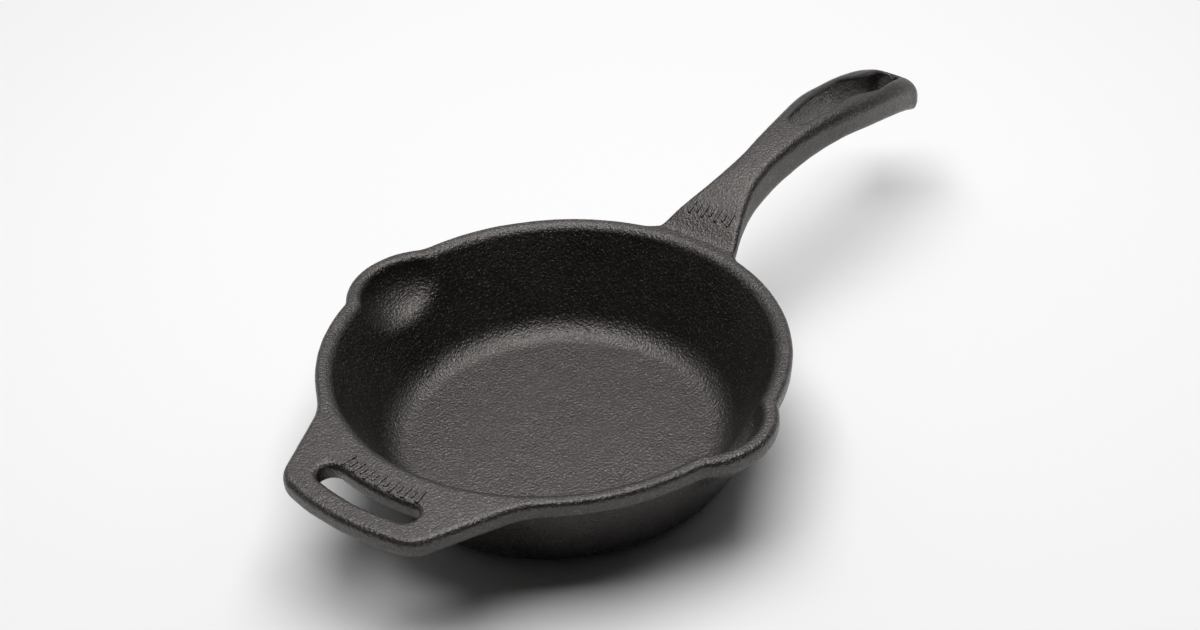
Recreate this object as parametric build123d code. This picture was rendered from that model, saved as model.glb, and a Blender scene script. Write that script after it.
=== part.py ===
from build123d import *
import math
import os

# Cast iron skillet with two pour spouts, a long loop handle and a helper handle.
# Millimetres. Origin at the centre of the flat base underside, +Z up.
# +X points along the long handle, -X towards the helper handle, the spouts are at +Y and -Y.

# ---- driving dimensions -------------------------------------------------------------------
rim_radius = 80.0            # outside edge of the rim
cavity_rim_radius = 75.0     # inside edge of the rim, so the pan is 150 mm across inside
pan_height = 41.0            # base underside to rim top
floor_thickness = 5.0
base_radius = 62.0           # where the outer wall line meets the base plane
cavity_floor_radius = 58.5   # where the inner wall line meets the cooking floor
wall_top_radius = 78.8       # where the outer wall line meets the rim plane
flange_height = 7.0          # height of the thick band round the rim and of the helper handle
spout_reach = 86.5           # centre of the pan to the tip of a spout
handle_tip_x = 220.0         # centre of the pan to the end of the long handle
helper_reach = 104.8         # centre of the pan to the outer edge of the helper handle

# ---- bowl details -------------------------------------------------------------------------
base_corner = 9.0            # round between base and outer wall
floor_corner = 12.0          # round between cooking floor and inner wall
rim_round = 2.0              # round on the top edges of the rim
flange_under_round = 2.5     # round on the lower edges of that band
lip_overhang = 2.0           # how far the band stands out from the wall of a spout
spout_radius = 26.5          # plan radius of a spout at the rim
spout_depth = 21.0           # height over which a spout runs out into the wall
spout_rake = 1.0             # how far the beak moves inwards per millimetre down
spout_taper = 0.75           # how much its plan radius shrinks per millimetre down
notch_round = 6.0            # concave round each side of a spout
rim_wall = rim_radius - cavity_rim_radius

# ---- split between the bowl and its handles -------------------------------------------------
joint_radius = rim_radius + 1.0   # the handles are separate bodies outside this cylinder
overrun = 10.0                    # how far cutting shapes run past the metal
shortest_seam = 5.0               # edges less tall than this are not seams of a spout

# ---- long handle ----------------------------------------------------------------------------
# Cross sections along the handle: distance from the pan centre, top above the rim plane, half width,
# height of the straight sides, depth of the rounded keel under the sides, round of the top edges.
handle_sections = [
    (70.0, 0.0, 20.0, 3.0, 7.0, 1.8),
    (80.0, 0.0, 16.8, 3.2, 8.0, 1.9),
    (88.0, 4.8, 13.7, 4.4, 8.0, 2.4),
    (96.0, 8.8, 10.6, 7.0, 8.0, 2.4),
    (105.0, 12.2, 8.2, 8.6, 8.0, 2.4),
    (116.0, 14.7, 7.1, 9.0, 7.8, 2.6),
    (130.0, 16.9, 7.9, 9.2, 7.0, 3.0),
    (145.0, 18.0, 9.6, 9.2, 6.2, 3.8),
    (160.0, 17.6, 11.9, 9.2, 5.6, 4.6),
    (174.0, 15.3, 12.8, 9.4, 5.6, 4.6),
    (188.0, 12.8, 12.7, 9.8, 5.8, 4.6),
    (200.0, 9.6, 11.9, 10.0, 5.8, 4.6),
    (207.0, 6.8, 10.9, 9.8, 5.6, 4.6),
    (212.0, 3.6, 9.6, 9.0, 5.2, 4.4),
    (216.0, -0.2, 7.5, 7.4, 4.2, 3.8),
    (218.6, -4.4, 4.6, 5.0, 2.8, 2.6),
    (handle_tip_x, -8.6, 1.3, 1.8, 0.9, 0.7),
]
loop_circles = [(145.0, 3.9), (166.0, 6.4), (186.0, 7.9), (204.0, 5.2)]   # opening outline
loop_bulges = [(194.0, 1, 6.9), (171.0, -1, 6.9)]   # place, side and half width of the opening
loop_bulge_height = 1.3
loop_bulge_radius = 12.0
loop_bulge_corner = 4.0

# ---- helper handle ----------------------------------------------------------------------------
helper_corner_x = 104.0      # where its straight flanks would meet the outer edge
helper_corner_y = 27.4
helper_flank_slope = 0.45    # how fast the half width grows towards the pan
helper_corner_round = 13.0
helper_root_round = 28.0     # concave round where the flanks run into the rim
slot_radius = 92.0           # the slot follows a circle about the pan centre
slot_width = 8.0
slot_half_length = 20.4

# ---- raised foundry marks: plain ridges in a row, long and short in turn ------------------------
mark_height = 0.5
mark_width = 1.2
long_mark = 6.0
short_mark = 3.6
handle_mark_x = 89.5         # middle of the row on the long handle
handle_mark_pitch = 2.8
handle_mark_count = 7
helper_mark_radius = 84.0    # circle that the row on the helper handle follows
helper_mark_pitch = 2.6
helper_mark_count = 13


def half_section(points, rounds):
    """Closed half section of (radius, height) points with some of its corners rounded."""
    face = make_face(Plane.XZ * Polyline(*points, close=True))
    for (radius, height), size in rounds:
        corner = [v for v in face.vertices() if abs(v.X - radius) < 0.01 and abs(v.Z - height) < 0.01]
        face = fillet(corner, size)
    return face


def spout_cone(inset, rise):
    """Leaning cone of one spout at +Y, its surface moved in by the inset."""
    sections = []
    for drop in (-rise, spout_depth):
        radius = spout_radius - inset - spout_taper * drop
        front = spout_reach - inset - spout_rake * drop
        sections.append(Pos(0, front - radius, pan_height - drop) * Circle(radius))
    return loft(sections)


def pair_across_y(shape):
    """The shape and its mirror image across the XZ plane."""
    return [shape, mirror(shape, Plane.XZ)]


def seam_edges(shape):
    """The slanting edges where spout cones meet the round wall."""
    seams = []
    for edge in shape.edges():
        if edge.geom_type == GeomType.BSPLINE and edge.bounding_box().size.Z > shortest_seam:
            seams.append(edge)
    return seams


def outer_wall():
    """Solid outer form of the bowl below the lip, spout beaks included."""
    points = [(0, 0), (base_radius, 0), (wall_top_radius, pan_height), (0, pan_height)]
    wall = revolve(half_section(points, [((base_radius, 0), base_corner)]), Axis.Z)
    for cone in pair_across_y(spout_cone(lip_overhang, 0)):
        wall = wall + cone
    return fillet(seam_edges(wall), notch_round)


def polar(radius, degrees):
    """Point at a radius and angle from the pan centre."""
    angle = math.radians(degrees)
    return (radius * math.cos(angle), radius * math.sin(angle))


def helper_tab():
    """Plan of the helper handle with its rounded outer corners, running in under the rim."""
    root_y = helper_corner_y + helper_flank_slope * helper_corner_x
    outer_x = -helper_corner_x - overrun
    corners = [
        (0, root_y),
        (-helper_corner_x, helper_corner_y),
        (outer_x, helper_corner_y),
        (outer_x, -helper_corner_y),
        (-helper_corner_x, -helper_corner_y),
        (0, -root_y),
    ]
    tab = make_face(Polyline(*corners, close=True)) & Circle(helper_reach)
    return fillet([v for v in tab.vertices() if v.X < -rim_radius], helper_corner_round)


def helper_slot():
    """Plan of the curved slot in the helper handle."""
    bend = math.degrees((slot_half_length - slot_width / 2) / slot_radius)
    ends = [polar(slot_radius, 180 - bend), polar(slot_radius, 180 + bend)]
    return SlotArc(ThreePointArc(ends[0], (-slot_radius, 0), ends[1]), slot_width)


def flange():
    """Thick band round the rim, with the spouts and the helper handle in one plate."""
    lobe = Pos(0, spout_reach - spout_radius) * Circle(spout_radius)
    outline = Circle(rim_radius) + lobe + mirror(lobe, Plane.XZ)
    outline = fillet(outline.vertices(), notch_round)
    outline = outline + helper_tab()
    root_corners = [v for v in outline.vertices() if -rim_radius < v.X < -base_radius]
    outline = fillet(root_corners, helper_root_round) - helper_slot()
    plate = extrude(Pos(0, 0, pan_height) * outline, -flange_height)
    return fillet(plate.edges().group_by(Axis.Z)[0], flange_under_round)


def cavity_form():
    """Cooking hollow with its pour channels, carried above the rim for a clean cut."""
    slope = (cavity_rim_radius - cavity_floor_radius) / (pan_height - floor_thickness)
    points = [
        (0, floor_thickness),
        (cavity_floor_radius, floor_thickness),
        (cavity_rim_radius + slope * overrun, pan_height + overrun),
        (0, pan_height + overrun),
    ]
    rounds = [((cavity_floor_radius, floor_thickness), floor_corner)]
    cavity = revolve(half_section(points, rounds), Axis.Z)
    for cone in pair_across_y(spout_cone(rim_wall, overrun)):
        cavity = cavity + cone
    return fillet(seam_edges(cavity), notch_round)


def bowl_with_helper(cavity):
    """Bowl and helper handle, all top edges rounded."""
    body = outer_wall() + flange() - cavity
    top_edges = [edge for edge in body.edges() if edge.bounding_box().min.Z > pan_height - 0.01]
    return fillet(top_edges, rim_round)


def handle_section(x, top, half_width, side, keel, corner):
    """Cross section: flat top with rounded corners, straight sides, elliptical keel."""
    z_top = pan_height + top
    z_side = z_top - side
    z_keel = z_side - keel
    inner = half_width - corner
    z_corner = z_top - corner
    section_plane = Plane(origin=(x, 0, 0), x_dir=(0, 1, 0), z_dir=(1, 0, 0))
    lean = corner * (1 - math.sqrt(0.5))
    top_line = Line((-inner, z_top), (inner, z_top))
    right_middle = (half_width - lean, z_top - lean)
    right_corner = ThreePointArc((inner, z_top), right_middle, (half_width, z_corner))
    right_side = Line((half_width, z_corner), (half_width, z_side))
    right_keel = Spline((half_width, z_side), (0, z_keel), tangents=[(0, -1), (-1, 0)])
    left_keel = Spline((0, z_keel), (-half_width, z_side), tangents=[(-1, 0), (0, 1)])
    left_side = Line((-half_width, z_side), (-half_width, z_corner))
    left_middle = (lean - half_width, z_top - lean)
    left_corner = ThreePointArc((-half_width, z_corner), left_middle, (-inner, z_top))
    right = [right_corner, right_side, right_keel]
    left = [left_keel, left_side, left_corner]
    return make_face(section_plane * Wire([top_line] + right + left))


def loop_opening():
    """Prism that cuts the loop opening, with one soft bulge in each of its sides."""
    circles = [Pos(x, 0) * Circle(radius) for x, radius in loop_circles]
    outline = make_hull([circle.edge() for circle in circles])
    for x, side, half_width in loop_bulges:
        centre_y = half_width - loop_bulge_height + loop_bulge_radius
        outline = outline - Pos(x, side * centre_y) * Circle(loop_bulge_radius)
        corners = outline.vertices().sort_by_distance((x, side * half_width))[0:2]
        outline = fillet(corners, loop_bulge_corner)
    return extrude(outline, pan_height + 4 * overrun, dir=(0, 0, 1))


def long_handle_form():
    """Arched handle with its loop opening, starting inside the rim."""
    return loft([handle_section(*values) for values in handle_sections]) - loop_opening()


def mark_lengths(count):
    """Length of each ridge in a row, long and short in turn, the end ones long."""
    return [long_mark if index % 2 == 0 else short_mark for index in range(count)]


def handle_marks(handle):
    """Row of ridges across the root of the long handle, following its top surface."""
    bars = []
    first_y = -handle_mark_pitch * (handle_mark_count - 1) / 2
    for index, length in enumerate(mark_lengths(handle_mark_count)):
        place = Pos(handle_mark_x, first_y + index * handle_mark_pitch, pan_height)
        bars.append(place * Box(length, mark_width, 2 * overrun))
    raised = handle.moved(Location((0, 0, mark_height)))
    return [raised & bar for bar in bars]


def helper_marks():
    """Row of radial ridges on the helper handle, between the rim and the slot."""
    step = math.degrees(helper_mark_pitch / helper_mark_radius)
    first = 180 - step * (helper_mark_count - 1) / 2
    bars = []
    for index, length in enumerate(mark_lengths(helper_mark_count)):
        place = Rot(0, 0, first + index * step) * Pos(helper_mark_radius, 0, pan_height)
        bars.append(place * Box(length, mark_width, 2 * mark_height))
    return bars


def joint_cylinder(radius, bottom):
    """Upright cylinder about the pan axis, open upwards past the highest metal."""
    return extrude(Pos(0, 0, bottom) * Circle(radius), pan_height + 4 * overrun)


def write_node(name, shape):
    """One STEP file for one named body."""
    export_step(shape, f"parts/{name}.step")


def main():
    """Build the three bodies of the casting and write them out."""
    cavity = cavity_form()
    body = bowl_with_helper(cavity)
    handle = long_handle_form()
    inside = joint_cylinder(joint_radius, 0)
    helper_box = Box(6 * overrun, 2 * rim_radius, 4 * overrun)
    helper_zone = Pos(-rim_radius, 0, pan_height) * helper_box - inside

    mid_rim = (rim_radius + cavity_rim_radius) / 2
    hollow = cavity + joint_cylinder(mid_rim, pan_height - rim_round)
    bowl = body - helper_zone + ((handle & inside) - hollow)
    long_handle = handle - inside
    for ridge in handle_marks(handle):
        long_handle = long_handle + (ridge - inside)
    helper = body & helper_zone
    for bar in helper_marks():
        helper = helper + (bar - inside)

    os.makedirs("parts", exist_ok=True)
    write_node("pan_bowl", bowl)
    write_node("long_handle", long_handle)
    write_node("helper_handle", helper)


main()
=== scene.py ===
import math

import bmesh
import bpy
import numpy as np
from mathutils import Matrix, Vector


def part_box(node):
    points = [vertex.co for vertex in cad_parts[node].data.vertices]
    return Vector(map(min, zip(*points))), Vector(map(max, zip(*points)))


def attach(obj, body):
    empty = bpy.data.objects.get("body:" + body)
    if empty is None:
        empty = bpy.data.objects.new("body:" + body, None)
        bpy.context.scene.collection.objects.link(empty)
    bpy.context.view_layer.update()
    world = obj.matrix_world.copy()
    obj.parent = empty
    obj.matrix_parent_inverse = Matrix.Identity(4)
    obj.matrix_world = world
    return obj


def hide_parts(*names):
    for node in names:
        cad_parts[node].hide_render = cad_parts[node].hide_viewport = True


# A cast iron skillet: one casting shown as bowl, long handle and helper handle.
# The surface is an implicit function in millimetres. A voxel mesh of the three bodies is moved
# onto it, cut at the joint cylinder and closed, so the three pieces meet without a visible seam.

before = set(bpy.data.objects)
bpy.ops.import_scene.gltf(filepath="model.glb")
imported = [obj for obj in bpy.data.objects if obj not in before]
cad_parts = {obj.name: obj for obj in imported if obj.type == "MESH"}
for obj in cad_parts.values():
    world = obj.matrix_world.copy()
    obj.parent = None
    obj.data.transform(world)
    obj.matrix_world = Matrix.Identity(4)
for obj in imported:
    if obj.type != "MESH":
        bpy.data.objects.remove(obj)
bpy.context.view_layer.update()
MM = 0.001

# ---- dimensions from the frame, in millimetres ---------------------------------------------
bowl_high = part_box("pan_bowl")[1] / MM
grip_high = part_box("long_handle")[1] / MM
helper_low, helper_high = [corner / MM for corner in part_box("helper_handle")]
RIDGE_HEIGHT = 0.5                      # the ridges stand this far above the rim plane
JOINT_RADIUS = bowl_high[0]             # the handles are separate pieces outside this cylinder
JOINT_HALF_WIDTH = 60.0                 # further out sideways everything belongs to the bowl
RIM = JOINT_RADIUS - 1.0                # outside edge of the rim
HEIGHT = helper_high[2] - RIDGE_HEIGHT  # rim plane above the base
FLANGE = HEIGHT - helper_low[2]         # thickness of the rim band and the helper handle
SPOUT_REACH = bowl_high[1]
HELPER_REACH = -helper_low[0]
TIP_X = grip_high[0]

# ---- bowl -------------------------------------------------------------------------------------
# A cosine belongs to the angle between the surface normals where two surfaces meet.
CAVITY_RIM = RIM - 5.0       # radius of the cooking hollow at the rim plane
CAVITY_FLOOR = RIM - 21.5    # its radius at the cooking floor, before the round
FLOOR = 5.0                  # thickness of the cooking floor
FLOOR_ROUND = 12.0
WALL_TOP = RIM - 1.2         # radius of the outer wall at the rim plane
BASE_RADIUS = RIM - 18.0     # its radius at the base, before the round
BASE_ROUND = 9.0
RIM_ROUND = 2.3
UNDER_ROUND = 2.6            # lower edge of the rim band
UNDER_BLEND = 5.0            # concave round from the rim band into the wall
UNDER_COSINE = 0.4
SPOUT_RADIUS = 26.5
SPOUT_WALL = 5.3
SPOUT_BACK = 1.5             # how far the wall of a spout lies behind its lip
SPOUT_DROP = 17.5            # depth of the scooped channel
SPOUT_START = 50.0           # the spouts lie beyond this distance to either side
SPOUT_BLEND = 4.0            # how far round a spout its wall is shaped first
NOTCH_ROUND = 6.0            # between a spout and the wall, at the rim plane
NOTCH_GROWTH = 0.35          # how much that round grows per millimetre below the rim
NOTCH_COSINE = 0.8

# ---- helper handle -----------------------------------------------------------------------------
HELPER_START = 30.0          # the plate is left out nearer the middle than this
HELPER_CORNER_X = HELPER_REACH - 0.8
HELPER_CORNER_Y = 27.4
HELPER_FLANK = 0.45          # how much the flanks spread towards the bowl
HELPER_CORNER_ROUND = 13.0
HELPER_CORNER_COSINE = 0.65
HELPER_ROOT_ROUND = 28.0
HELPER_ROOT_COSINE = 0.85
SLOT_RADIUS = HELPER_REACH - 12.8
SLOT_HALF_WIDTH = 4.0
SLOT_HALF_LENGTH = 20.4

# ---- long handle: place, top above the rim plane, half width, side height, keel depth, top round ---
HANDLE = np.array([
    (66.0, 0.0, 22.0, 3.0, 7.0, 1.8),
    (80.0, 0.0, 16.8, 3.2, 8.0, 1.9),
    (88.0, 4.8, 13.7, 4.4, 8.0, 2.4),
    (96.0, 8.8, 10.6, 7.0, 8.0, 2.4),
    (105.0, 12.2, 8.2, 8.6, 8.0, 2.4),
    (116.0, 14.7, 7.1, 9.0, 7.8, 2.6),
    (130.0, 16.9, 7.9, 9.2, 7.0, 3.0),
    (145.0, 18.0, 9.6, 9.2, 6.2, 3.8),
    (160.0, 17.6, 11.9, 9.2, 5.6, 4.6),
    (174.0, 15.3, 12.8, 9.4, 5.6, 4.6),
    (188.0, 12.8, 12.7, 9.8, 5.8, 4.6),
    (200.0, 9.6, 11.9, 10.0, 5.8, 4.8),
    (207.0, 6.8, 11.2, 9.8, 5.6, 5.4),
    (212.0, 3.6, 10.8, 9.0, 5.2, 6.0),
    (TIP_X + 4.0, -4.0, 10.4, 7.6, 5.0, 6.0),
])
HANDLE_START = 60.0          # the handle is left out nearer the middle than this
TOP_ROUND_BLEND = 12.0       # length over which the round of the rim becomes that of the handle
ROOT_ROUND = 3.5
CROWN = 0.5                  # how far the edges of the top lie under its middle
CROWN_LIMIT = 1.2            # the crown stops growing at this many half widths
CROWN_START = 84.0
CROWN_BLEND = 20.0           # length over which the crown grows
NOSE_RADIUS = 10.6
NOSE_ROUND = 5.0             # upper and lower edge of the round end
NOSE_LEAST_ROUND = 0.05      # the same where the round end begins
NOSE_BACK = 1.2              # the round end stops this far short of the tip
LOOP_CIRCLES = [(145.0, 3.9), (166.0, 6.4), (186.0, 7.8), (203.0, 4.9)]  # place and radius
LOOP_BULGES = [(194.0, 1, 6.9), (171.0, -1, 6.9)]  # place, side and half width without the bulge
LOOP_BULGE_HEIGHT = 1.4
LOOP_BULGE_RADIUS = 12.0
LOOP_BULGE_ROUND = 5.0
LIP_ROUND = 1.6

# ---- raised ridges on both handles -----------------------------------------------------------------
RIDGE_WIDTH = 1.3
RIDGE_SINK = 0.08            # how far the middle of a ridge lies under the surface
LONG_RIDGE = 6.0
SHORT_RIDGE = 3.6
HANDLE_RIDGE_X = 89.5
HANDLE_RIDGE_PITCH = 2.8
HANDLE_RIDGE_COUNT = 7
HELPER_RIDGE_RADIUS = 84.0
HELPER_RIDGE_PITCH = 2.6
HELPER_RIDGE_COUNT = 13
RIDGE_RINGS = 10             # mesh rings from pole to pole of a ridge
RIDGE_STEPS = 16             # mesh points in one ring
SAME_POINT = 1e-7            # in metres; points this near each other are merged

# ---- surface of the casting ------------------------------------------------------------------------
VOXEL = 0.85
NORMAL_STEP = 0.05           # step of the differences that give the normals
LEAST_SLOPE = 0.05           # least squared slope that a move of a point is worked out from
CUT_MARGIN = 0.02            # a cut keeps this share of an edge away from its ends
CUT_DEPTH = 0.4              # a face whose middle lies deeper than this closes a cut
SAND_WAVES = [(0.09, 14.0, 3), (0.05, 5.0, 11), (0.035, 2.2, 23)]  # height, size, seed
HASH_PRIMES = (73856093, 19349663, 83492791)  # one for each axis
SEED_PRIME = 2654435761
HASH_FACTOR = 1274126177
HASH_TOP = 0xFFFF            # the noise of a lattice point is a whole number from 0 to this
TINY = 1e-9                  # keeps divisions away from zero


def smooth_curve(x, places, values):
    """Smooth curve through the values, with slopes taken from the neighbours."""
    slopes = np.gradient(values, places)
    index = np.clip(np.searchsorted(places, x) - 1, 0, len(places) - 2)
    start = places[index]
    span = places[index + 1] - start
    t = np.clip((x - start) / span, 0.0, 1.0)
    t2 = t * t
    t3 = t2 * t
    rise = (2 * t3 - 3 * t2 + 1) * values[index] + (3 * t2 - 2 * t3) * values[index + 1]
    bend = (t3 - 2 * t2 + t) * slopes[index] + (t3 - t2) * slopes[index + 1]
    return rise + span * bend


def join(a, b, radius, cosine=0.0):
    """Union with a concave round; cosine is that of the angle between the surface normals."""
    u = radius - a
    v = radius - b
    between = (u > cosine * v) & (v > cosine * u)
    spread = np.sqrt(np.maximum(u * u + v * v - 2.0 * cosine * u * v, 0.0) / (1.0 - cosine * cosine))
    return np.where(between, radius - spread, np.minimum(a, b))


def meet(a, b, radius, cosine=0.0):
    """Intersection with a convex round of the radius."""
    return -join(-a, -b, radius, cosine)


def carve(a, b, radius, cosine=0.0):
    """a without b, with the new edge rounded."""
    return meet(a, -b, radius, cosine)


def spout(x, y, z, inset, depth):
    """Scooped form of both spouts: half an egg under the rim, upright above it."""
    drop = np.maximum(HEIGHT - z, 0.0)
    radius = SPOUT_RADIUS - inset
    plan = np.hypot(x, np.abs(y) - SPOUT_REACH + SPOUT_RADIUS)
    return ellipse_distance(plan, drop, radius, depth)


def ellipse_distance(across, down, half_width, depth):
    """Near enough the distance to an ellipse about the origin."""
    reach = np.hypot(across / half_width, down / depth)
    steepness = np.hypot(across / half_width ** 2, down / depth ** 2)
    return reach * (reach - 1.0) / np.maximum(steepness, TINY)


def spout_round(z):
    """Round between a spout and the wall, wider towards the bottom of the spout."""
    return NOTCH_ROUND + NOTCH_GROWTH * np.clip(HEIGHT - z, 0.0, SPOUT_DROP)


def sloping_wall(r, z, foot_radius, foot_height, top_radius):
    """Distance to a cone about the pan axis and the cosine between its normal and straight down."""
    slope = (top_radius - foot_radius) / (HEIGHT - foot_height)
    size = math.hypot(1.0, slope)
    return (r - foot_radius - slope * (z - foot_height)) / size, slope / size


def outer_wall(x, y, z, r):
    """Outside of the bowl below the rim band."""
    wall, cosine = sloping_wall(r, z, BASE_RADIUS, 0.0, WALL_TOP)
    beaks = spout(x, y, z, SPOUT_BACK, SPOUT_DROP + SPOUT_WALL - SPOUT_BACK)
    with_spouts = join(wall, beaks, spout_round(z), NOTCH_COSINE)
    return meet(with_spouts, -z, BASE_ROUND, cosine)


def cavity(x, y, z, r):
    """The cooking hollow with its pour channels."""
    wall, cosine = sloping_wall(r, z, CAVITY_FLOOR, FLOOR, CAVITY_RIM)
    hollow = meet(wall, FLOOR - z, FLOOR_ROUND, cosine)
    return join(hollow, spout(x, y, z, SPOUT_WALL, SPOUT_DROP), spout_round(z), NOTCH_COSINE)


def flange_plan(x, y, r):
    """Plan of the rim band with the spouts and the helper handle."""
    lobe = np.hypot(x, np.abs(y) - (SPOUT_REACH - SPOUT_RADIUS)) - SPOUT_RADIUS
    plan = join(r - RIM, lobe, NOTCH_ROUND, NOTCH_COSINE)
    lean = math.hypot(1.0, HELPER_FLANK)
    flank = (np.abs(y) - HELPER_CORNER_Y - HELPER_FLANK * (HELPER_CORNER_X + x)) / lean
    tab = meet(flank, r - HELPER_REACH, HELPER_CORNER_ROUND, HELPER_CORNER_COSINE)
    tab = np.maximum(tab, x + HELPER_START)
    plan = join(plan, tab, HELPER_ROOT_ROUND, HELPER_ROOT_COSINE)
    return np.maximum(plan, -helper_slot(x, y))


def helper_slot(x, y):
    """Curved slot in the helper handle."""
    angle = np.arctan2(y, -x)
    reach = (SLOT_HALF_LENGTH - SLOT_HALF_WIDTH) / SLOT_RADIUS
    near = np.clip(angle, -reach, reach)
    return np.hypot(x + SLOT_RADIUS * np.cos(near), y - SLOT_RADIUS * np.sin(near)) - SLOT_HALF_WIDTH


def handle_values(x):
    """Top height, half width, side height, keel depth and top round of the long handle at x."""
    places = HANDLE[:, 0]
    return [smooth_curve(x, places, HANDLE[:, column]) for column in range(1, HANDLE.shape[1])]


def handle_body(x, y, z, half_width, side, keel, top):
    """Sides and rounded underside of the long handle."""
    z_side = HEIGHT + top - side
    drop = np.maximum(z_side - z, 0.0)
    body = ellipse_distance(y, drop, half_width, keel)
    ahead = np.maximum(x - TIP_X + NOSE_BACK + NOSE_RADIUS, 0.0)
    nose = np.hypot(ahead, y) - NOSE_RADIUS
    nose_round = np.clip(ahead, NOSE_LEAST_ROUND, NOSE_ROUND)
    return np.where(ahead > 0.0, meet(body, nose, nose_round), body)


def tapered_capsule(x, y, start, end):
    """Plan distance to the hull of two circles on the X axis."""
    length = end[0] - start[0]
    b = (start[1] - end[1]) / length
    a = math.sqrt(1.0 - b * b)
    along = x - start[0]
    across = np.abs(y)
    k = along * a - across * b
    body = across * a + along * b - start[1]
    from_start = np.hypot(along, across) - start[1]
    from_end = np.hypot(along - length, across) - end[1]
    return np.where(k < 0.0, from_start, np.where(k > a * length, from_end, body))


def loop_opening(x, y):
    """Plan of the loop opening, with one soft bulge in each of its sides."""
    plan = tapered_capsule(x, y, LOOP_CIRCLES[0], LOOP_CIRCLES[1])
    for start, end in zip(LOOP_CIRCLES[1:-1], LOOP_CIRCLES[2:]):
        plan = np.minimum(plan, tapered_capsule(x, y, start, end))
    for place, side, half_width in LOOP_BULGES:
        centre = side * (half_width - LOOP_BULGE_HEIGHT + LOOP_BULGE_RADIUS)
        bulge = np.hypot(x - place, y - centre) - LOOP_BULGE_RADIUS
        plan = carve(plan, bulge, LOOP_BULGE_ROUND)
    return plan


def outside(points):
    """Outer form of the bowl with its rim band, without the hollow."""
    x, y, z = points[:, 0], points[:, 1], points[:, 2]
    r = np.hypot(x, y)
    band = meet(flange_plan(x, y, r), HEIGHT - FLANGE - z, UNDER_ROUND)
    return join(outer_wall(x, y, z, r), band, UNDER_BLEND, UNDER_COSINE)


def inside(points):
    """The cooking hollow."""
    x, y, z = points[:, 0], points[:, 1], points[:, 2]
    return cavity(x, y, z, np.hypot(x, y))


def casting(points):
    """Implicit surface of the whole casting: negative inside the metal, in millimetres."""
    x, y, z = points[:, 0], points[:, 1], points[:, 2]
    r = np.hypot(x, y)
    top, half_width, side, keel, grip_round = handle_values(x)
    body = outside(points)
    grip = handle_body(x, y, z, half_width, side, keel, top)
    grip = np.maximum(grip, HANDLE_START - x)
    body = join(body, grip, ROOT_ROUND)
    crown = CROWN * np.clip(y / half_width, -CROWN_LIMIT, CROWN_LIMIT) ** 2
    crown = crown * np.clip((x - CROWN_START) / CROWN_BLEND, 0.0, 1.0)
    z_top = HEIGHT + np.where(x > RIM, top - crown, 0.0)
    round_share = np.clip((x - RIM) / TOP_ROUND_BLEND, 0.0, 1.0)
    round_top = RIM_ROUND + round_share * (grip_round - RIM_ROUND)
    body = meet(body, z - z_top, round_top)
    body = carve(body, cavity(x, y, z, r), RIM_ROUND)
    return carve(body, loop_opening(x, y), LIP_ROUND)


def lattice_noise(points, size, seed):
    """Smooth noise between -1 and 1 with features of the given size."""
    scaled = points / size
    base = np.floor(scaled).astype(np.int64)
    part = scaled - base
    fade = part * part * (3.0 - 2.0 * part)
    total = np.zeros(len(points))
    for corner in range(8):
        offset = np.array([corner & 1, (corner >> 1) & 1, (corner >> 2) & 1])
        cell = base + offset
        key = np.bitwise_xor.reduce(cell * HASH_PRIMES, axis=1) ^ seed * SEED_PRIME
        key = (key ^ (key >> 13)) * HASH_FACTOR & 0xFFFFFFFF
        key = (key ^ (key >> 16)) & HASH_TOP
        weight = np.prod(np.where(offset == 1, fade, 1.0 - fade), axis=1)
        total += weight * (key / (0.5 * HASH_TOP) - 1.0)
    return total


def sand_texture(points):
    """Unevenness that the sand mould leaves in the surface, in millimetres."""
    return sum(height * lattice_noise(points, size, seed) for height, size, seed in SAND_WAVES)


def surface(points):
    """The casting with the unevenness of its surface."""
    return casting(points) - sand_texture(points)


def gradient(function, points, step):
    """Gradient of a scalar function by central differences."""
    slopes = np.zeros_like(points)
    for axis in range(3):
        offset = np.zeros(3)
        offset[axis] = step
        slopes[:, axis] = (function(points + offset) - function(points - offset)) / (2 * step)
    return slopes


def pull_to_surface(function, points, rounds, limit):
    """Moves points onto the zero level of the function, by at most limit per round."""
    for _ in range(rounds):
        value = function(points)
        slope = gradient(function, points, NORMAL_STEP)
        size = np.maximum(np.sum(slope * slope, axis=1), LEAST_SLOPE)
        move = -(value / size)[:, None] * slope
        length = np.linalg.norm(move, axis=1)
        move *= (np.minimum(length, limit) / np.maximum(length, TINY))[:, None]
        points = points + move
    return points


def unit(vectors):
    """Vectors scaled to length one."""
    return vectors / np.maximum(np.linalg.norm(vectors, axis=1), TINY)[:, None]


def relax(points, edges, rounds):
    """Moves each point half way to the middle of its neighbours, along the surface."""
    count = np.bincount(edges.ravel(), minlength=len(points)).astype(float)
    for _ in range(rounds):
        total = np.zeros_like(points)
        for axis in range(3):
            total[:, axis] += np.bincount(edges[:, 0], points[edges[:, 1], axis], len(points))
            total[:, axis] += np.bincount(edges[:, 1], points[edges[:, 0], axis], len(points))
        shift = 0.5 * (total / np.maximum(count, 1.0)[:, None] - points)
        normal = unit(gradient(casting, points, NORMAL_STEP))
        shift -= np.sum(shift * normal, axis=1)[:, None] * normal
        points = pull_to_surface(casting, points + shift, rounds=1, limit=0.3)
    return points


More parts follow.
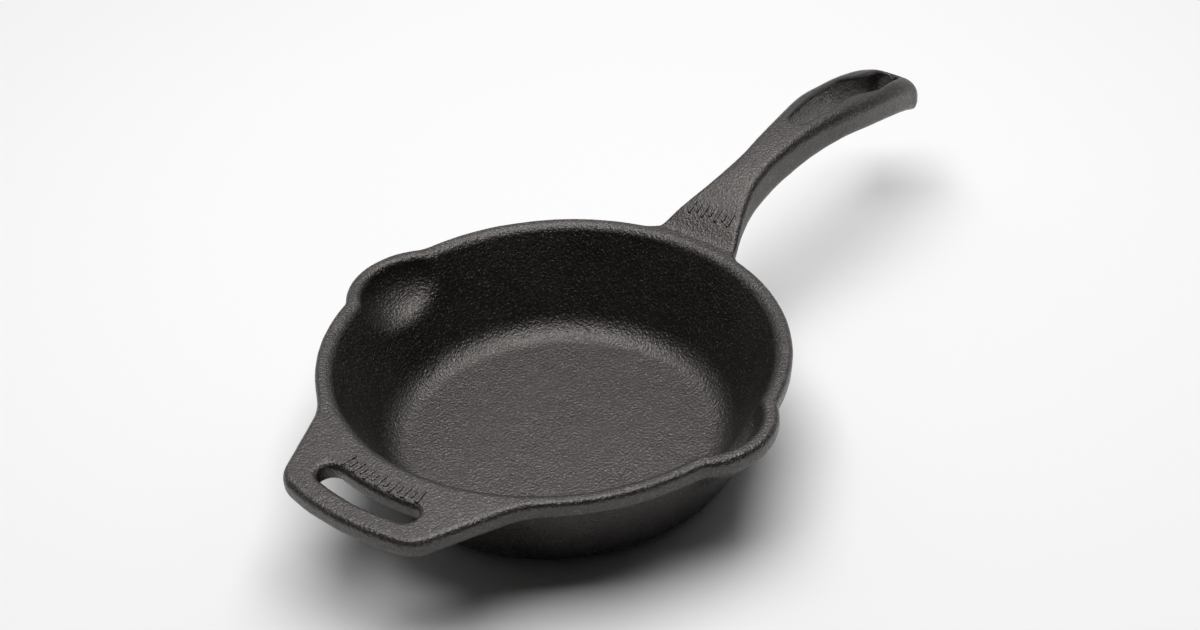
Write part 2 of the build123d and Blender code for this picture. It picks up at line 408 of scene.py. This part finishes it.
def voxel_copy():
    """One voxel mesh of all three bodies of the frame."""
    merged = bmesh.new()
    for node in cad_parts.values():
        merged.from_mesh(node.data)
    mesh = bpy.data.meshes.new("casting_start")
    merged.to_mesh(mesh)
    merged.free()
    start = bpy.data.objects.new("casting_start", mesh)
    bpy.context.scene.collection.objects.link(start)
    remesh = start.modifiers.new("voxels", "REMESH")
    remesh.mode = "VOXEL"
    remesh.voxel_size = VOXEL * MM
    depsgraph = bpy.context.evaluated_depsgraph_get()
    result = bpy.data.meshes.new_from_object(start.evaluated_get(depsgraph))
    bpy.data.objects.remove(start)
    bpy.data.meshes.remove(mesh)
    return result


def read_vectors(mesh):
    """Vertex places of a mesh, in millimetres."""
    flat = np.zeros(len(mesh.vertices) * 3)
    mesh.vertices.foreach_get("co", flat)
    return flat.reshape(-1, 3) / MM


def write_vectors(mesh, points):
    """Sets the vertex places of a mesh from millimetres."""
    mesh.vertices.foreach_set("co", (points * MM).ravel())
    mesh.update()


def shape_spouts(mesh, points):
    """Moves both sides of the spout walls to their own surfaces, so that they cannot mix."""
    normals = np.zeros(len(points) * 3)
    mesh.vertices.foreach_get("normal", normals)
    normals = normals.reshape(-1, 3)
    facing = points[:, 0] * normals[:, 0] + points[:, 1] * normals[:, 1]
    drop = HEIGHT - points[:, 2]
    near = (np.abs(points[:, 0]) < SPOUT_RADIUS + SPOUT_BLEND) & (np.abs(points[:, 1]) > SPOUT_START)
    near &= (drop > RIM_ROUND) & (drop < SPOUT_DROP + 2.0 * SPOUT_BLEND)
    for side, function in ((near & (facing > 0.0), outside), (near & (facing <= 0.0), inside)):
        points[side] = pull_to_surface(function, points[side], rounds=10, limit=1.5)
    return points


def casting_mesh():
    """The whole casting as one smooth mesh on the implicit surface."""
    mesh = voxel_copy()
    edges = np.zeros(len(mesh.edges) * 2, np.int64)
    mesh.edges.foreach_get("vertices", edges)
    edges = edges.reshape(-1, 2)
    points = shape_spouts(mesh, read_vectors(mesh))
    points = pull_to_surface(casting, points, rounds=6, limit=1.0)
    points = relax(points, edges, rounds=8)
    points = pull_to_surface(surface, points, rounds=3, limit=0.5)
    write_vectors(mesh, points)
    return mesh


def outside_joint(point):
    """Positive for a point in millimetres that belongs to a handle."""
    if abs(point[1]) > JOINT_HALF_WIDTH:
        return -1.0
    return math.hypot(point[0], point[1]) - JOINT_RADIUS


def cut_at_joint(whole):
    """Cuts the faces of the casting along the joint cylinder."""
    value = {}
    for vertex in whole.verts:
        value[vertex] = outside_joint(vertex.co / MM)
    crossing = [e for e in whole.edges if (value[e.verts[0]] > 0) != (value[e.verts[1]] > 0)]
    cuts = set()
    faces = set()
    for edge in crossing:
        first, second = edge.verts
        faces.update(edge.link_faces)
        share = value[first] / (value[first] - value[second])
        share = min(max(share, CUT_MARGIN), 1.0 - CUT_MARGIN)
        cuts.add(bmesh.utils.edge_split(edge, first, share)[1])
    for face in faces:
        ends = [vertex for vertex in face.verts if vertex in cuts]
        if len(ends) == 2:
            bmesh.utils.face_split(face, ends[0], ends[1])


def piece_of(face):
    """Name of the piece that a face of the cut casting belongs to."""
    centre = face.calc_center_median() / MM
    if outside_joint(centre) <= 0:
        return "pan_bowl"
    return "long_handle" if centre[0] > 0 else "helper_handle"


def close_cut(part):
    """Closes the open end of a piece with flat triangles."""
    rim = [edge for edge in part.edges if edge.is_boundary]
    filled = bmesh.ops.holes_fill(part, edges=rim, sides=0)
    bmesh.ops.triangulate(part, faces=filled["faces"])


def split_casting(mesh):
    """Three closed meshes, one for each body of the frame."""
    whole = bmesh.new()
    whole.from_mesh(mesh)
    cut_at_joint(whole)
    names = [piece_of(face) for face in whole.faces]
    meshes = {}
    for name in ("pan_bowl", "long_handle", "helper_handle"):
        part = whole.copy()
        part.faces.ensure_lookup_table()
        other = [face for face, owner in zip(part.faces, names) if owner != name]
        bmesh.ops.delete(part, geom=other, context="FACES")
        close_cut(part)
        meshes[name] = bpy.data.meshes.new(name + "_iron")
        part.to_mesh(meshes[name])
        part.free()
    whole.free()
    return meshes


def set_normals(mesh):
    """Smooth shading with the exact normals of the surface; the closed cut stays flat."""
    normals = unit(gradient(surface, read_vectors(mesh), NORMAL_STEP))
    mesh.shade_smooth()
    faces = len(mesh.polygons)
    centres = np.zeros(faces * 3)
    mesh.polygons.foreach_get("center", centres)
    flat = surface(centres.reshape(-1, 3) / MM) < -CUT_DEPTH
    face_normals = np.zeros(faces * 3)
    mesh.polygons.foreach_get("normal", face_normals)
    sizes = np.zeros(faces, np.int64)
    mesh.polygons.foreach_get("loop_total", sizes)
    corners = np.zeros(len(mesh.loops), np.int64)
    mesh.loops.foreach_get("vertex_index", corners)
    owner = np.repeat(np.arange(faces), sizes)
    loops = np.where(flat[owner][:, None], face_normals.reshape(-1, 3)[owner], normals[corners])
    mesh.normals_split_custom_set(loops.tolist())


def add_piece(node, name, mesh, material):
    """A visible piece that stands for a node of the frame."""
    piece = bpy.data.objects.new(name, mesh)
    bpy.context.scene.collection.objects.link(piece)
    mesh.materials.append(material)
    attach(piece, "root")
    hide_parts(node)


def ridge(centre, along, up, length):
    """Vertices and faces of one plain raised ridge, a stretched ball sunk into the surface."""
    across = up.cross(along)
    vertices = []
    for ring in range(RIDGE_RINGS + 1):
        polar_angle = math.pi * ring / RIDGE_RINGS
        for step in range(RIDGE_STEPS):
            turn = 2.0 * math.pi * (step + 0.5) / RIDGE_STEPS
            forward = math.sin(polar_angle) * math.cos(turn)
            stretch = math.copysign(0.5 * (length - RIDGE_WIDTH), forward)
            place = centre + (0.5 * RIDGE_WIDTH * forward + stretch) * along
            place = place + 0.5 * RIDGE_WIDTH * math.sin(polar_angle) * math.sin(turn) * across
            vertices.append((place + RIDGE_HEIGHT * math.cos(polar_angle) * up) * MM)
    faces = []
    for ring in range(RIDGE_RINGS):
        for step in range(RIDGE_STEPS):
            near = ring * RIDGE_STEPS + step
            side = ring * RIDGE_STEPS + (step + 1) % RIDGE_STEPS
            faces.append((near, near + RIDGE_STEPS, side + RIDGE_STEPS, side))
    return vertices, faces


def ridge_row(name, ridges):
    """One mesh for a whole row of ridges; the ball poles are merged into single points."""
    vertices = []
    faces = []
    for centre, along, up, length in ridges:
        new_vertices, new_faces = ridge(centre, along, up, length)
        first = len(vertices)
        faces += [tuple(corner + first for corner in face) for face in new_faces]
        vertices += new_vertices
    mesh = bpy.data.meshes.new(name)
    mesh.from_pydata(vertices, [], faces)
    merged = bmesh.new()
    merged.from_mesh(mesh)
    bmesh.ops.remove_doubles(merged, verts=merged.verts, dist=SAME_POINT)
    bmesh.ops.recalc_face_normals(merged, faces=merged.faces)
    merged.to_mesh(mesh)
    merged.free()
    mesh.shade_smooth()
    return mesh


def ridge_length(index):
    """Long and short ridges in turn."""
    return LONG_RIDGE if index % 2 == 0 else SHORT_RIDGE


def handle_ridges():
    """Row of ridges across the root of the long handle, following its slope."""
    behind, height, ahead = handle_values(HANDLE_RIDGE_X + np.array([-1.0, 0.0, 1.0]))[0]
    along = Vector((2.0, 0.0, ahead - behind)).normalized()
    up = along.cross(Vector((0.0, 1.0, 0.0)))
    ridges = []
    for index in range(HANDLE_RIDGE_COUNT):
        y = (index - 0.5 * (HANDLE_RIDGE_COUNT - 1)) * HANDLE_RIDGE_PITCH
        centre = Vector((HANDLE_RIDGE_X, y, HEIGHT + height - RIDGE_SINK))
        ridges.append((centre, along, up, ridge_length(index)))
    return ridges


def helper_ridges():
    """Row of radial ridges on the helper handle, between the rim and the slot."""
    up = Vector((0.0, 0.0, 1.0))
    ridges = []
    for index in range(HELPER_RIDGE_COUNT):
        place = (index - 0.5 * (HELPER_RIDGE_COUNT - 1)) * HELPER_RIDGE_PITCH
        turn = math.pi + place / HELPER_RIDGE_RADIUS
        along = Vector((math.cos(turn), math.sin(turn), 0.0))
        centre = HELPER_RIDGE_RADIUS * along + Vector((0.0, 0.0, HEIGHT - RIDGE_SINK))
        ridges.append((centre, along, up, ridge_length(index)))
    return ridges


# ---- material -----------------------------------------------------------------------------------
PATCHES_PER_METRE = 45.0
PEBBLES_PER_METRE = 1000.0
SPECKS_PER_METRE = 1500.0
FINE_SHARE = 0.5                         # depth of the specks as a share of that of the pebbles
PATCH_RANGE = (0.3, 0.7)                 # ranges of the noises that are used
SPECK_RANGE = (0.35, 0.7)
GLOSS_RANGE = (0.45, 0.68)
# the speck noise above this range gets the painted glints
PAINTED_GLINT_RANGE = (0.585, 0.68)
WEAR_RANGE = (0.505, 0.56)               # of the pointiness of the mesh
PATCH_TONE = 0.55                        # how far each noise turns the dark colour into the light
SPECK_TONE = 0.45
PATCH_GLOSS = (-0.05, 0.06)              # what each noise adds to the roughness
SPECK_GLOSS = (0.06, -0.16)
PAINTED_GLINT_TONE = (0.115, 0.108, 0.102)        # painted glints: pale specks in the colour that stand in for sparkles of light off the grain
WEAR_SHARE = 0.5
WORN_GAIN = 2.1                          # worn edges are this many times as pale
FILM_IOR = 1.75                          # baked oil film
FILM_TINT = (1.0, 0.925, 0.895, 1.0)
BOWL_IRON = {
    "dark": (0.002, 0.0019, 0.0018),
    "light": (0.007, 0.0066, 0.0063),
    "roughness": 0.37,
    "grain_depth": 0.0004,
}
HANDLE_IRON = {
    "dark": (0.003, 0.0028, 0.0027),
    "light": (0.010, 0.0094, 0.0090),
    "roughness": 0.38,
    "grain_depth": 0.00036,
}


def add_node(tree, kind, **inputs):
    """A shader node with some of its inputs set by name."""
    node = tree.nodes.new(kind)
    for name, value in inputs.items():
        node.inputs[name.replace("_", " ")].default_value = value
    return node


def noise_field(tree, coordinates, scale, detail, roughness):
    """Fractal noise whose scale is in features per metre."""
    node = add_node(tree, "ShaderNodeTexNoise", Scale=scale, Detail=detail, Roughness=roughness)
    tree.links.new(coordinates, node.inputs["Vector"])
    return node.outputs["Fac"]


def remap(tree, value, low, high, new_low, new_high):
    """Maps a value from one range to another, clamped."""
    node = tree.nodes.new("ShaderNodeMapRange")
    tree.links.new(value, node.inputs["Value"])
    node.inputs["From Min"].default_value = low
    node.inputs["From Max"].default_value = high
    node.inputs["To Min"].default_value = new_low
    node.inputs["To Max"].default_value = new_high
    return node.outputs["Result"]


def mix_colours(tree, share, first, second):
    """Mix of two colours, each a tuple or a socket."""
    node = tree.nodes.new("ShaderNodeMix")
    node.data_type = "RGBA"
    tree.links.new(share, node.inputs["Factor"])
    for socket, colour in ((node.inputs["A"], first), (node.inputs["B"], second)):
        if isinstance(colour, tuple):
            socket.default_value = (*colour, 1.0)
        else:
            tree.links.new(colour, socket)
    return node.outputs["Result"]


def arithmetic(tree, operation, first, second):
    """Math node on two values, each a number or a socket."""
    node = tree.nodes.new("ShaderNodeMath")
    node.operation = operation
    for socket, value in zip(node.inputs, (first, second)):
        if isinstance(value, (int, float)):
            socket.default_value = value
        else:
            tree.links.new(value, socket)
    return node.outputs["Value"]


def bump(tree, height, depth):
    """Bump node for a height between 0 and 1 that stands for the depth, in metres."""
    node = add_node(tree, "ShaderNodeBump", Strength=1.0, Distance=depth)
    tree.links.new(height, node.inputs["Height"])
    return node


def iron_material(name, dark, light, roughness, grain_depth):
    """Seasoned sand-cast iron: pebbly grain, patchy oil film, painted glints on the grain, paler worn
    edges.
    """
    material = bpy.data.materials.new(name)
    material.use_nodes = True
    tree = material.node_tree
    shader = tree.nodes["Principled BSDF"]
    place = tree.nodes.new("ShaderNodeTexCoord").outputs["Object"]
    patches = noise_field(tree, place, PATCHES_PER_METRE, detail=4.0, roughness=0.55)
    specks = noise_field(tree, place, SPECKS_PER_METRE, detail=2.0, roughness=0.6)
    pebbles = noise_field(tree, place, PEBBLES_PER_METRE, detail=2.0, roughness=0.55)

    patch_tone = remap(tree, patches, *PATCH_RANGE, 0.0, PATCH_TONE)
    speck_tone = remap(tree, specks, *SPECK_RANGE, 0.0, SPECK_TONE)
    film = mix_colours(tree, arithmetic(tree, "ADD", patch_tone, speck_tone), dark, light)
    # painted glints: sparse pale specks mixed into the colour in place of sparkles of light
    base = mix_colours(tree, remap(tree, specks, *PAINTED_GLINT_RANGE, 0.0, 1.0), film, PAINTED_GLINT_TONE)
    geometry = tree.nodes.new("ShaderNodeNewGeometry")
    wear = remap(tree, geometry.outputs["Pointiness"], *WEAR_RANGE, 0.0, WEAR_SHARE)
    worn_tone = tuple(WORN_GAIN * channel for channel in light)
    tree.links.new(mix_colours(tree, wear, base, worn_tone), shader.inputs["Base Color"])

    gloss = arithmetic(tree, "ADD", roughness, remap(tree, patches, *PATCH_RANGE, *PATCH_GLOSS))
    gloss = arithmetic(tree, "ADD", gloss, remap(tree, specks, *GLOSS_RANGE, *SPECK_GLOSS))
    tree.links.new(gloss, shader.inputs["Roughness"])
    shader.inputs["IOR"].default_value = FILM_IOR
    shader.inputs["Specular Tint"].default_value = FILM_TINT

    coarse = bump(tree, pebbles, grain_depth)
    fine = bump(tree, specks, FINE_SHARE * grain_depth)
    tree.links.new(coarse.outputs["Normal"], fine.inputs["Normal"])
    tree.links.new(fine.outputs["Normal"], shader.inputs["Normal"])
    return material


# ---- floor, light and camera, in metres ------------------------------------------------------------
GROUND_HALF_SIZE = 2.5
GROUND_DROP = 0.0002                    # keeps the ground clear of the flat base
GROUND_WHITE = (0.93, 0.93, 0.93, 1.0)
GROUND_ROUGHNESS = 0.9
GROUND_SPECULAR = 0.1
VIEW_AZIMUTH = math.radians(-138.99)    # direction from the pan to the camera, from +X
VIEW_ELEVATION = math.radians(35.68)
VIEW_ROLL = math.radians(-3.77)
VIEW_DISTANCE = 9.578 * RIM * MM
VIEW_TARGET = Vector((0.300 * RIM * MM, -0.012 * RIM * MM, HEIGHT * MM))
LENS_MM = 67.3
SENSOR_MM = 36.0
STUDIO_PALE = (0.46, 0.46, 0.46)
STUDIO_DARK = (0.015, 0.015, 0.015)
STUDIO_TURN = (-0.6, 0.0)               # part of the way towards the camera over which it darkens
SOFTBOX_AIM = Vector((0.04, 0.0, 0.0))
SOFTBOX_BACK = 0.15                     # how far it hangs away from the camera
SOFTBOX_HEIGHT = 1.1
SOFTBOX_SIZE = 1.05
SOFTBOX_WATTS = 14.0


def add_floor():
    """Plain pale floor, just under the pan."""
    half = GROUND_HALF_SIZE
    outline = [(-half, -half), (half, -half), (half, half), (-half, half)]
    mesh = bpy.data.meshes.new("floor")
    mesh.from_pydata([(x, y, -GROUND_DROP) for x, y in outline], [], [(0, 1, 2, 3)])
    floor = bpy.data.objects.new("floor", mesh)
    bpy.context.scene.collection.objects.link(floor)
    material = bpy.data.materials.new("floor_white")
    material.use_nodes = True
    shader = material.node_tree.nodes["Principled BSDF"]
    shader.inputs["Base Color"].default_value = GROUND_WHITE
    shader.inputs["Roughness"].default_value = GROUND_ROUGHNESS
    shader.inputs["Specular IOR Level"].default_value = GROUND_SPECULAR
    mesh.materials.append(material)


def add_camera():
    """Camera at the viewing angle, rolled about its own axis; returns the direction towards it."""
    back = Vector((
        math.cos(VIEW_ELEVATION) * math.cos(VIEW_AZIMUTH),
        math.cos(VIEW_ELEVATION) * math.sin(VIEW_AZIMUTH),
        math.sin(VIEW_ELEVATION),
    ))
    right = Vector((-math.sin(VIEW_AZIMUTH), math.cos(VIEW_AZIMUTH), 0.0))
    up = back.cross(right)
    rolled_right = math.cos(VIEW_ROLL) * right + math.sin(VIEW_ROLL) * up
    rolled_up = math.cos(VIEW_ROLL) * up - math.sin(VIEW_ROLL) * right
    camera = bpy.data.objects.new("camera", bpy.data.cameras.new("camera"))
    camera.data.lens = LENS_MM
    camera.data.sensor_width = SENSOR_MM
    rotation = Matrix((rolled_right, rolled_up, back)).transposed().to_4x4()
    camera.matrix_world = Matrix.Translation(VIEW_TARGET + VIEW_DISTANCE * back) @ rotation
    bpy.context.scene.collection.objects.link(camera)
    bpy.context.scene.camera = camera
    return back


def studio_world(level):
    """Pale studio on the far side of the pan, dark on the camera's side."""
    world = bpy.data.worlds.new("studio")
    bpy.context.scene.world = world
    world.use_nodes = True
    tree = world.node_tree
    direction = tree.nodes.new("ShaderNodeTexCoord").outputs["Generated"]
    facing = tree.nodes.new("ShaderNodeVectorMath")
    facing.operation = "DOT_PRODUCT"
    tree.links.new(direction, facing.inputs[0])
    facing.inputs[1].default_value = level
    shade = remap(tree, facing.outputs["Value"], *STUDIO_TURN, 0.0, 1.0)
    colour = mix_colours(tree, shade, STUDIO_PALE, STUDIO_DARK)
    tree.links.new(colour, tree.nodes["Background"].inputs["Color"])


def add_softbox(level):
    """Large square softbox overhead."""
    light = bpy.data.lights.new("overhead_softbox", "AREA")
    light.shape = "SQUARE"
    light.size = SOFTBOX_SIZE
    light.energy = SOFTBOX_WATTS
    lamp = bpy.data.objects.new("overhead_softbox", light)
    lamp.location = SOFTBOX_AIM - SOFTBOX_BACK * level + Vector((0.0, 0.0, SOFTBOX_HEIGHT))
    lamp.rotation_euler = (SOFTBOX_AIM - lamp.location).to_track_quat("-Z", "Y").to_euler()
    bpy.context.scene.collection.objects.link(lamp)


# ---- build -----------------------------------------------------------------------------------------
bpy.context.scene.view_settings.view_transform = "Standard"
meshes = split_casting(casting_mesh())
bowl_iron = iron_material("bowl_iron", **BOWL_IRON)
grip_iron = iron_material("handle_iron", **HANDLE_IRON)
for node, slot_name, material in (
    ("pan_bowl", "bowl_iron", bowl_iron),
    ("long_handle", "long_handle_iron", grip_iron),
    ("helper_handle", "helper_handle_iron", grip_iron),
):
    set_normals(meshes[node])
    add_piece(node, node + "_iron", meshes[node], material)

for node, ridges in (("long_handle", handle_ridges()), ("helper_handle", helper_ridges())):
    add_piece(node, node + "_ridges", ridge_row(node + "_ridges", ridges), grip_iron)

add_floor()
camera_direction = add_camera()
level_direction = Vector((camera_direction.x, camera_direction.y, 0.0)).normalized()
studio_world(level_direction)
add_softbox(level_direction)
